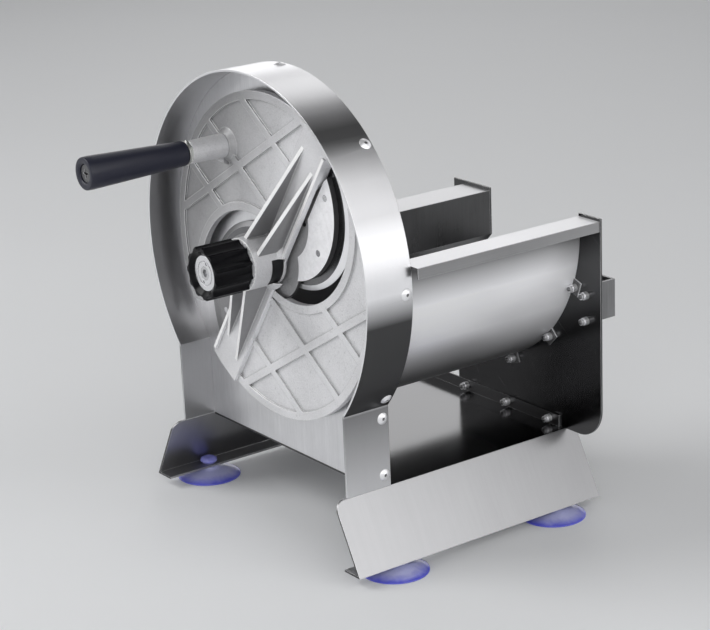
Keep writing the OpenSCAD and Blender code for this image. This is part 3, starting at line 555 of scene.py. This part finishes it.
def disc_metal():
    """Cast disc: sand skin, bright edges that are partly rubbed wear and partly a painted highlight, ground tops on
    the arm's fins and lips, painted light and shade on its face and arm.
    """
    made, w, shader = material("disc casting")
    rim = place(w, EDGE, Radius=0.0011)
    # Painted light and shade: the disc's face darkens to the upper left, all that stands in front of it keeps its
    # tone
    raised = w.spread(w.spot()[1], ARM_FLOOR - 0.0004, ARM_FLOOR - 0.0008)
    slow = w.spread(w.from_shaft(LIGHT_WAY), -0.092, -0.015, 0.38, 1.02)
    slow = w.mix(raised, slow, 1.0)
    tone, deep_tone = w.scale(grey(0.76)[:3], slow), w.scale(grey(0.42)[:3], slow)
    skin = place(
        w, SAND, Tone=tone, Deep_tone=deep_tone, Roughness=0.42, Depth=0.0002, Normal=rim["Normal"], Edge=rim["Edge"],
    )
    # Ground: what is raised and flat, and the fins' sloping tops down to the disc
    flat = w.math("ABSOLUTE", w.facing()[1])
    fin_top = w.spread(flat, 0.99, 0.985)
    ground = w.times(w.math("MAXIMUM", raised, fin_top), w.spread(flat, 0.9, 0.95))
    # Sides along the arm: painted shade on the fins, painted light on the wall at each window
    off = w.math("ABSOLUTE", w.from_shaft(ARM_SIDE))
    side = w.spread(w.math("ABSOLUTE", w.vector("DOT_PRODUCT", w.way(), ARM_SIDE, out=1)), 0.9, 0.95)
    outer = w.spread(off, 0.0125, 0.013)
    fin_side = w.times(side, raised, w.math("SUBTRACT", 1.0, outer))
    wall = w.times(side, outer, w.spread(off, 0.0172, 0.0168))
    colour = w.blend(fin_side, skin["Color"], grey(0.3))
    colour = w.blend(wall, colour, grey(0.92))
    colour = w.blend(ground, colour, grey(0.96, 1.0))
    feed(w, shader, colour, w.mix(ground, skin["Roughness"], 0.3), skin["Normal"], w.mix(ground, 0.4, 0.2))
    return made


def painted_shade_side(w):
    """The half of the carrier and blade beyond the arm, where pad and bevel are painted dark as shade."""
    return w.spread(w.from_shaft(ARM_SIDE), 0.002, -0.002)


def carrier_metal():
    """Machined white pads in front, a dark rough casting behind them; the pad beyond the arm is painted dark as
    shade.
    """
    made, w, shader = material("carrier casting")
    rim = place(w, EDGE, Radius=0.0005)
    skin = place(w, SAND, Tone=grey(0.46), Deep_tone=grey(0.2), Roughness=0.6, Depth=0.0003, Normal=rim["Normal"])
    front = w.spread(w.spot()[1], PAD_FRONT + 0.0004, PAD_FRONT + 0.0002)
    marks = w.noise(w.vector("MULTIPLY", w.here(), (240.0, 30.0, 240.0)), 1.0, detail=3.0, rough=0.6)
    milled_with_painted_shade = w.blend(w.spread(marks, 0.35, 0.7), grey(0.97), grey(0.86))
    # Painted shade: beyond the arm the pad is painted dark
    milled_with_painted_shade = w.blend(painted_shade_side(w), milled_with_painted_shade, grey(0.22))
    step = w.spread(w.math("ABSOLUTE", w.facing()[1]), 0.9, 0.5)
    colour = w.blend(step, w.blend(front, skin["Color"], milled_with_painted_shade), grey(0.1))
    feed(w, shader, colour, w.mix(front, 0.6, 0.42), skin["Normal"], w.mix(front, 0.7, 0.15))
    return made


def blade_metal():
    """Dark polished crescent with a bright ground bevel round its edge, painted dark as shade beyond the arm."""
    made, w, shader = material("blade steel")
    rim = place(w, EDGE, Radius=0.0003)
    marks = place(w, RINGS, Centre=tuple(SHAFT), Rings=900.0, Depth=0.000008, Normal=rim["Normal"])
    bevel = w.spread(w.math("ABSOLUTE", w.facing()[1]), 0.998, 0.99)
    flat = w.scale((0.17, 0.17, 0.175), w.spread(marks["Line"], *LINE_ENDS, 0.9, 1.1))
    # Painted shade: beyond the arm the ground bevel is painted dark
    ground = w.blend(painted_shade_side(w), grey(0.95), grey(0.4))
    feed(w, shader, w.blend(bevel, flat, ground), w.mix(bevel, 0.2, 0.36), marks["Normal"])
    return made


def bolt_metal():
    """Blackened screw head, with a painted highlight on the edges round its recess."""
    made, w, shader = material("bolt steel")
    rim = place(w, EDGE, Radius=0.0005)
    marks = place(w, RINGS, Centre=tuple(HANDLE), Rings=1800.0, Depth=0.00002, Normal=rim["Normal"])
    dark = w.blend(w.spread(marks["Line"], *LINE_ENDS), grey(0.14), grey(0.22))
    feed(w, shader, w.blend(rim["Edge"], dark, grey(0.95)), w.mix(rim["Edge"], 0.4, 0.25), marks["Normal"])
    return made


def cup_vinyl():
    """Clear vinyl, blue-violet where it is thick at the rim and the head, paler on the bell."""
    made, w, shader = material("cup vinyl")
    skin = place(w, MOULD, Tone=(0.5, 0.5, 0.8, 1), Dust=0.2, Roughness=0.12, Depth=0.00012)
    high = w.spot()[2]
    cloud = w.math("SUBTRACT", w.noise(w.here(), 90.0, detail=3.0, rough=0.6, warp=0.6), 0.5)
    thick = w.spread(w.math("MULTIPLY_ADD", cloud, 0.003, high), 0.0042, 0.0012)
    bell = w.blend(thick, (0.58, 0.60, 0.94, 1), (0.13, 0.14, 0.75, 1))
    colour = w.blend(w.spread(high, 0.0098, 0.0115), bell, (0.33, 0.34, 0.88, 1))
    feed(w, shader, colour, skin["Roughness"], skin["Normal"], metal=0.0)
    shader["Transmission Weight"].default_value = 0.3
    shader["IOR"].default_value = 1.45
    shader["Coat Weight"].default_value = 0.3
    return made


guard_steel = two_sheets("guard steel", (0.58, 0.30, 0.07), (0.46, 0.30, 0.2), inner_share, shade=guard_shade)
skirt_steel = two_sheets(
    "base steel", (0.34, 0.33, 0.2), (0.2, 0.12, 0.05), deck_share, dark_ends=True, shade=skirt_shade,
)
plate_steel = sheet_steel("front plate steel", tone=0.75, rough=0.32, lines=UPRIGHT, contrast=0.4)
# Painted reflection: the back plate's near black tone stands in for the darkness its mirror face reflects
mirror_steel = scuffed_steel("back plate steel", tone=0.075, rough=0.2, lines=CROSS)
trough_steel = two_sheets(
    "trough steel", (0.9, 0.34, 0.06), (0.27, 0.36, 0.3), lip_share, ALONG, ALONG,
    dark_ends=True, shade=trough_shade, metal=trough_metal,
)
cover_steel = two_sheets("cover steel", (0.6, 0.32, 0.06), (0.095, 0.28, 0.5), upright_share, ALONG)
strap_steel = sheet_steel("strap steel", tone=0.24, rough=0.3, lines=CROSS_WIDE, contrast=0.9, depth=0.00003)
rivet_steel = sheet_steel(
    "rivet aluminium", tone=0.88, rough=0.3, lines=EVEN, contrast=0.05, depth=0.00001, edge=0.0003, metal=0.7,
)
small_steel = turned_metal("turned steel", grey(0.6), rough=0.26, centre=SHAFT)
washer_steel = turned_metal("zinc washer", (0.72, 0.73, 0.70), rough=0.28, centre=HANDLE)
bolt_steel = bolt_metal()
stem_steel = turned_metal("mandrel steel", grey(0.2), rough=0.4, centre=HANDLE)
blade_steel = blade_metal()
face_steel = turned_metal("knob end steel", grey(0.78), rough=0.2, centre=SHAFT, rings=1500.0, depth=0.00004)
bronze = turned_metal("bearing bronze", (0.44, 0.31, 0.17), rough=0.36, centre=SHAFT)
disc_cast = disc_metal()
carrier_cast = carrier_metal()
cup_clear = cup_vinyl()
clip_black = plastic("clip black", (0.012, 0.012, 0.013, 1), rough=0.42, dust=0.3, depth=0.00004, shine=0.3)
knob_black = plastic("knob black", (0.003, 0.003, 0.004, 1), rough=0.2, dust=0.06, depth=0.00002, shine=0.14)
grip_black = plastic("grip black", (0.014, 0.015, 0.028, 1), rough=0.38, dust=0.2, depth=0.00003, shine=0.42)

FINISH = {
    "base_plate": skirt_steel, "guard_band": guard_steel, "front_plate": plate_steel,
    "back_plate": mirror_steel, "feed_trough": trough_steel, "shaft_cover": cover_steel,
    "rear_strap": strap_steel, "front_bearing": bronze, "rear_bearing": bronze,
    "bearing_rivets": rivet_steel, "shaft": small_steel, "shaft_washer": small_steel,
    "shaft_circlip": clip_black, "blade_carrier": carrier_cast, "carrier_screws": small_steel,
    "drive_pins": small_steel, "blade_1": blade_steel, "blade_2": blade_steel,
    "blade_screws": small_steel, "cutter_disc": disc_cast, "hub_clip": clip_black,
    "index_ring": small_steel, "knob_sleeve": face_steel, "adjusting_knob": knob_black,
    "zero_screw": small_steel, "handle_bolt": bolt_steel, "handle_washer": washer_steel,
    "handle_grip": grip_black, "guard_rivets": rivet_steel, "trough_rivets": rivet_steel,
    "deck_rivets": rivet_steel, "strap_rivets": rivet_steel,
}
for node, finish in FINISH.items():
    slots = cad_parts[node].material_slots
    if not slots:
        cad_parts[node].data.materials.append(finish)
    for slot in slots:
        slot.material = finish


# Shapes
SHARP_FROM = math.radians(32)
# The most of a side that one corner's arc may take
ARC_SHARE = 0.45


def rounded(corners, steps=5):
    """Profile points: each corner (radius, height, fillet) becomes a short arc."""
    points = []
    for k, (x, y, fillet) in enumerate(corners):
        here = Vector((x, y))
        if fillet == 0:
            points.append(here)
            continue
        before = Vector(corners[k - 1][:2]) - here
        after = Vector(corners[(k + 1) % len(corners)][:2]) - here
        fillet = min(fillet, ARC_SHARE * before.length, ARC_SHARE * after.length)
        start = here + before.normalized() * fillet
        end = here + after.normalized() * fillet
        for step in range(steps + 1):
            share = step / steps
            points.append(start.lerp(here, share).lerp(here.lerp(end, share), share))
    return points


def keep(bm, name, made):
    """A finished mesh as a scene object, smooth but for its sharp corners."""
    bmesh.ops.remove_doubles(bm, verts=bm.verts, dist=1e-7)
    bmesh.ops.recalc_face_normals(bm, faces=bm.faces)
    data = bpy.data.meshes.new(name)
    bm.to_mesh(data)
    bm.free()
    data.materials.append(made)
    data.polygons.foreach_set("use_smooth", [True] * len(data.polygons))
    data.set_sharp_from_angle(angle=SHARP_FROM)
    piece = bpy.data.objects.new(name, data)
    bpy.context.scene.collection.objects.link(piece)
    return piece


def sweep(bm, profile, place_point, segments=72, closed=False, wobble=None):
    """Faces swept round an axis. place_point turns (radius, height, angle) into a place in the scene."""
    rings = []
    for radius, height in profile:
        count = 1 if radius == 0 else segments
        ring = []
        for k in range(count):
            angle = math.tau * k / segments
            share = wobble(height, angle) if wobble else 1.0
            ring.append(bm.verts.new(place_point(radius * share, height, angle)))
        rings.append(ring)
    following = rings[1:] + rings[:1] if closed else rings[1:]
    for near, far in zip(rings, following):
        for k in range(segments):
            n = (k + 1) % segments
            corners = [near[k % len(near)], far[k % len(far)], far[n % len(far)], near[n % len(near)]]
            unique = [v for i, v in enumerate(corners) if v not in corners[:i]]
            if len(unique) > 2:
                bm.faces.new(unique)


def round_front_axis(x, z):
    """Places points round an axis that runs front to back through x and z."""
    def place_point(radius, height, angle):
        return row(x + radius * math.cos(angle), height, z + radius * math.sin(angle))

    return place_point


def round_upright_axis(x, y):
    """Places points round an axis that stands up through x and y."""
    def place_point(radius, height, angle):
        return row(x + radius * math.cos(angle), y + radius * math.sin(angle), height)

    return place_point


# Profiles of the turned and moulded pieces: (radius, place along the axis, fillet) for each corner
GRIP_PROFILE = [
    (4.2, -95.3, 0.2), (6.8, -95.3, 0.3), (6.8, -101.3, 0.4), (8.2, -102.1, 0.4), (9.4, -102.3, 0.5),
    (11.9, -102.3, 1.6), (12.2, -97.5, 2.0), (9.3, -23.0, 3.0), (9.2, -19.5, 0.6), (8.5, -18.7, 0.5),
    (4.2, -18.7, 0.3),
]
WASHER_PROFILE = [(4.1, -18.4, 0.1), (9.1, -18.4, 0.3), (9.1, -17.2, 0.3), (4.1, -17.2, 0.1)]
NUT_PROFILE = [
    (4.1, -17.1, 0.1), (8.6, -17.1, 0.1), (9.6, -16.7, 0.2), (9.6, -15.5, 0.2), (8.6, -15.1, 0.1),
    (4.1, -15.1, 0.1),
]
# A thin bell with a lip, a neck through the flange and a cut head
CUP_PROFILE = [
    (0, 4.9, 0), (5.0, 4.8, 1.0), (12.0, 3.7, 3.0), (20.0, 1.8, 3.0), (24.0, 0.0, 0.3), (25.0, 0.0, 0.4),
    (24.9, 0.9, 0.5), (21.5, 2.7, 3.0), (15.0, 4.7, 3.0), (9.6, 6.2, 2.0), (7.8, 7.5, 0.7),
    (7.5, 8.45, 0.3), (3.95, 8.45, 0.2), (3.95, 10.05, 0.1), (4.7, 10.1, 0.2), (5.2, 10.8, 0.6),
    (7.0, 12.0, 0.7), (6.9, 13.5, 0.8), (5.2, 15.0, 1.0), (2.2, 15.3, 0.8), (0, 14.8, 0),
]
CUP_X, CUP_FRONT, CUP_PITCH = 122.0, 29.0, 150.0
# The head's facets: from what height, how many, and how deep as a share of the radius
CUP_HEAD, CUP_FACETS, CUP_CUT = 11.0, 10, 0.05
HEXAGON = math.tau / 6


def make_grip():
    """A tapered tube with a sunk end for the bolt's head."""
    bm = bmesh.new()
    sweep(bm, rounded(GRIP_PROFILE), round_front_axis(GRIP_X, GRIP_Z), segments=96, closed=True)
    piece = keep(bm, "grip_tube", grip_black)
    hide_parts("handle_grip")
    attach(piece, "grip")


def make_handle_nut():
    """A flat washer with a thin hexagon nut behind it."""
    bm = bmesh.new()
    around = round_front_axis(GRIP_X, GRIP_Z)
    sweep(bm, rounded(WASHER_PROFILE, steps=3), around, closed=True)

    def hexagon(height, angle):
        return math.cos(HEXAGON / 2) / math.cos((angle + HEXAGON / 2) % HEXAGON - HEXAGON / 2)

    sweep(bm, rounded(NUT_PROFILE, steps=3), around, closed=True, wobble=hexagon)
    piece = keep(bm, "handle_nut", washer_steel)
    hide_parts("handle_washer")
    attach(piece, "disc")


def make_cup(number, x, y):
    bm = bmesh.new()

    def facets(height, angle):
        return 1 - CUP_CUT * (height > CUP_HEAD) * abs(math.sin(CUP_FACETS / 2 * angle))

    sweep(bm, rounded(CUP_PROFILE), round_upright_axis(x, y), segments=80, wobble=facets)
    name = "suction_cup_%d" % number
    piece = keep(bm, "vinyl_cup_%d" % number, cup_clear)
    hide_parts(name)
    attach(piece, "frame")


make_grip()
make_handle_nut()
cup_places = [(side * CUP_X, y) for y in (CUP_FRONT, CUP_FRONT + CUP_PITCH) for side in (-1, 1)]
for number, (x, y) in enumerate(cup_places, 1):
    make_cup(number, x, y)


# Rivet stems: the broken end in each head and the swelled end in each tail
RING_RADIUS, GUARD_ROW = 140.0, 33.7
RING_ANGLES = (-36.6, 0, 45, 90, 135, 180, 216.6)
LEG_X, LEG_HEIGHTS = 107.0, (67.4, 110.4)
CHUTE_X, CHUTE_Z, CHUTE_RADIUS, CHUTE_ANGLES = 2.9, 217.0, 125.3, (-20.3, -44.9, -68.7)
DECK_X, DECK_Z = (-8.5, 41.4, 90.5), 62.9
STRAP_PLACES = ((131.65, 150.2), (131.65, 169.8), (-11.75, 169.8))
PLATE_BACK, STRAP_BACK = 207.5, 209.0
# A rivet's length from its head's face to its tail's end, through thick and thin sheets
LONG_RIVET, SHORT_RIVET = 9.0, 8.7
# How far a broken stem stands out of its head, and a swelled end out of its tail
STEM_OUT, END_OUT = 0.7, 0.5
STEM_SIDES = 16


def rivet_spots():
    """Each rivet's head, its outward direction and the length from head to tail end."""
    def ray(degrees):
        return Vector((math.cos(math.radians(degrees)), 0, math.sin(math.radians(degrees))))

    spots = []
    centre = Vector((0, GUARD_ROW, SHAFT.z / MM))
    for degrees in RING_ANGLES:
        spots.append((centre + ray(degrees) * RING_RADIUS, ray(degrees), LONG_RIVET))
    for side in (-1, 1):
        for z in LEG_HEIGHTS:
            spots.append((Vector((side * LEG_X, GUARD_ROW, z)), Vector((side, 0, 0)), LONG_RIVET))
    back = Vector((0, 1, 0))
    chute = Vector((CHUTE_X, PLATE_BACK, CHUTE_Z))
    for degrees in CHUTE_ANGLES:
        spots.append((chute + ray(degrees) * CHUTE_RADIUS, back, SHORT_RIVET))
    for x in DECK_X:
        spots.append((Vector((x, PLATE_BACK, DECK_Z)), back, LONG_RIVET))
    for x, z in STRAP_PLACES:
        spots.append((Vector((x, STRAP_BACK, z)), back, LONG_RIVET))
    return spots


def stem_tree():
    """Geometry nodes: a short turned stem on each point, along the point's own direction."""
    tree = bpy.data.node_groups.new("rivet stems", "GeometryNodeTree")
    face = tree.interface
    face.new_socket("Geometry", in_out="INPUT", socket_type="NodeSocketGeometry")
    radius = face.new_socket("Radius", in_out="INPUT", socket_type="NodeSocketFloat")
    length = face.new_socket("Length", in_out="INPUT", socket_type="NodeSocketFloat")
    finish = face.new_socket("Material", in_out="INPUT", socket_type="NodeSocketMaterial")
    face.new_socket("Geometry", in_out="OUTPUT", socket_type="NodeSocketGeometry")

    def node(kind, **settings):
        made = tree.nodes.new(kind)
        for key, value in settings.items():
            setattr(made, key, value)
        return made

    put_in, out = node("NodeGroupInput"), node("NodeGroupOutput")
    join = tree.links.new
    rod = node("GeometryNodeMeshCylinder")
    rod.inputs["Vertices"].default_value = STEM_SIDES
    rod.inputs["Side Segments"].default_value = 1
    join(put_in.outputs["Radius"], rod.inputs["Radius"])
    join(put_in.outputs["Length"], rod.inputs["Depth"])
    ball = node("GeometryNodeMeshUVSphere")
    ball.inputs["Segments"].default_value = STEM_SIDES
    ball.inputs["Rings"].default_value = STEM_SIDES // 2
    join(put_in.outputs["Radius"], ball.inputs["Radius"])
    flat = node("GeometryNodeTransform")
    join(ball.outputs["Mesh"], flat.inputs["Geometry"])
    flat.inputs["Scale"].default_value = (0.98, 0.98, 0.5)
    half = node("ShaderNodeMath", operation="MULTIPLY")
    half.inputs[1].default_value = 0.5
    join(put_in.outputs["Length"], half.inputs[0])
    up = node("ShaderNodeCombineXYZ")
    join(half.outputs[0], up.inputs[2])
    join(up.outputs[0], flat.inputs["Translation"])
    both = node("GeometryNodeJoinGeometry")
    join(rod.outputs["Mesh"], both.inputs[0])
    join(flat.outputs[0], both.inputs[0])
    way = node("GeometryNodeInputNamedAttribute", data_type="FLOAT_VECTOR")
    way.inputs["Name"].default_value = "way"
    turn = node("FunctionNodeAlignRotationToVector", axis="Z")
    join(way.outputs["Attribute"], turn.inputs["Vector"])
    points = node("GeometryNodeMeshToPoints")
    join(put_in.outputs["Geometry"], points.inputs["Mesh"])
    copies = node("GeometryNodeInstanceOnPoints")
    join(points.outputs[0], copies.inputs["Points"])
    join(both.outputs[0], copies.inputs["Instance"])
    join(turn.outputs[0], copies.inputs["Rotation"])
    real = node("GeometryNodeRealizeInstances")
    join(copies.outputs[0], real.inputs[0])
    painted = node("GeometryNodeSetMaterial")
    join(real.outputs[0], painted.inputs["Geometry"])
    join(put_in.outputs["Material"], painted.inputs["Material"])
    join(painted.outputs[0], out.inputs[0])
    return tree, radius.identifier, length.identifier, finish.identifier


STEM_TREE, STEM_RADIUS, STEM_LENGTH, STEM_FINISH = stem_tree()


def make_stems(name, places, radius, length):
    """One piece of stems at places, each a point and a direction. Sizes are in millimetres."""
    seed = bpy.data.meshes.new(name + " points")
    seed.from_pydata([tuple(row(*point)) for point, way in places], [], [])
    ways = seed.attributes.new("way", "FLOAT_VECTOR", "POINT")
    ways.data.foreach_set("vector", [number for point, way in places for number in way])
    source = bpy.data.objects.new(name + " points", seed)
    bpy.context.scene.collection.objects.link(source)
    build = source.modifiers.new("stems", "NODES")
    build.node_group = STEM_TREE
    build[STEM_RADIUS] = radius * MM
    build[STEM_LENGTH] = length * MM
    build[STEM_FINISH] = stem_steel
    ready = source.evaluated_get(bpy.context.evaluated_depsgraph_get())
    data = bpy.data.meshes.new_from_object(ready)
    data.name = name
    source.modifiers.remove(build)
    bpy.data.objects.remove(source)
    piece = bpy.data.objects.new(name, data)
    bpy.context.scene.collection.objects.link(piece)
    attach(piece, "frame")


SPOTS = rivet_spots()
fronts = [(head + out * STEM_OUT / 2, out) for head, out, reach in SPOTS]
tails = [(head - out * (reach + END_OUT / 2), -out) for head, out, reach in SPOTS]
make_stems("rivet_stems", fronts, radius=1.12, length=STEM_OUT)
make_stems("rivet_ends", tails, radius=1.7, length=END_OUT)


# Studio: a pale floor, a room that is light at eye level and darker overhead, soft lamps
FLOOR_RADIUS = 6.0
# Share of the way from straight down to straight up, and the room's brightness there
ROOM = [(0.0, 0.5), (0.5, 0.9), (0.69, 0.84), (0.78, 0.12), (0.92, 0.08), (1.0, 0.2)]
# Name, place, width and height in metres, and watts
LAMPS = (
    ("front softbox", (-1.1, -1.5, 1.7), (1.3, 1.3), 26),
    ("side softbox", (1.7, -1.3, 1.3), (1.0, 1.2), 9),
    ("right softbox", (2.0, 0.3, 1.6), (2.4, 2.4), 19),
    ("rear left softbox", (-1.9, 1.4, 0.9), (1.1, 0.9), 1.5),
    ("top rear softbox", (-1.0, 1.2, 1.75), (0.8, 0.8), 1.7),
    ("rear right softbox", (1.9, 1.5, 0.5), (0.9, 0.9), 2.5),
)
LAMPS_AIM = Vector((0, 0, 0.16))


def make_floor():
    bm = bmesh.new()
    bmesh.ops.create_circle(bm, cap_ends=True, radius=FLOOR_RADIUS, segments=96)
    data = bpy.data.meshes.new("floor")
    bm.to_mesh(data)
    bm.free()
    floor = bpy.data.objects.new("floor", data)
    bpy.context.scene.collection.objects.link(floor)
    made, w, shader = material("floor paint")
    tone = w.noise(w.here(), 3.0, detail=2.0)
    w.put(shader["Base Color"], w.blend(tone, (0.79, 0.80, 0.81, 1), (0.83, 0.84, 0.85, 1)))
    w.put(shader["Roughness"], w.spread(tone, *LINE_ENDS, 0.6, 0.7))
    data.materials.append(made)


def make_room():
    world = bpy.data.worlds.new("room")
    bpy.context.scene.world = world
    world.use_nodes = True
    w = Wiring(world.node_tree)
    high = w.split(w.node("TexCoord").outputs["Generated"])[2]
    ramp = w.node("ValToRGB")
    w.put(ramp.inputs[0], w.spread(high, -1.0, 1.0))
    steps = ramp.color_ramp.elements
    while len(steps) < len(ROOM):
        steps.new(0.5)
    for element, (at, value) in zip(steps, ROOM):
        element.position = at
        element.color = (value, value, value * 1.01, 1)
    background = world.node_tree.nodes["Background"].inputs
    w.put(background[0], ramp.outputs[0])
    background[1].default_value = 1.0


def hang_lamp(name, at, size, watts):
    lamp = bpy.data.lights.new(name, "AREA")
    lamp.shape = "RECTANGLE"
    lamp.size, lamp.size_y = size
    lamp.energy = watts
    holder = bpy.data.objects.new(name, lamp)
    bpy.context.scene.collection.objects.link(holder)
    holder.location = at
    holder.rotation_euler = (LAMPS_AIM - Vector(at)).to_track_quat("-Z", "Y").to_euler()
    holder.visible_camera = False


make_floor()
make_room()
for lamp in LAMPS:
    hang_lamp(*lamp)
bpy.context.scene.view_settings.view_transform = "Standard"
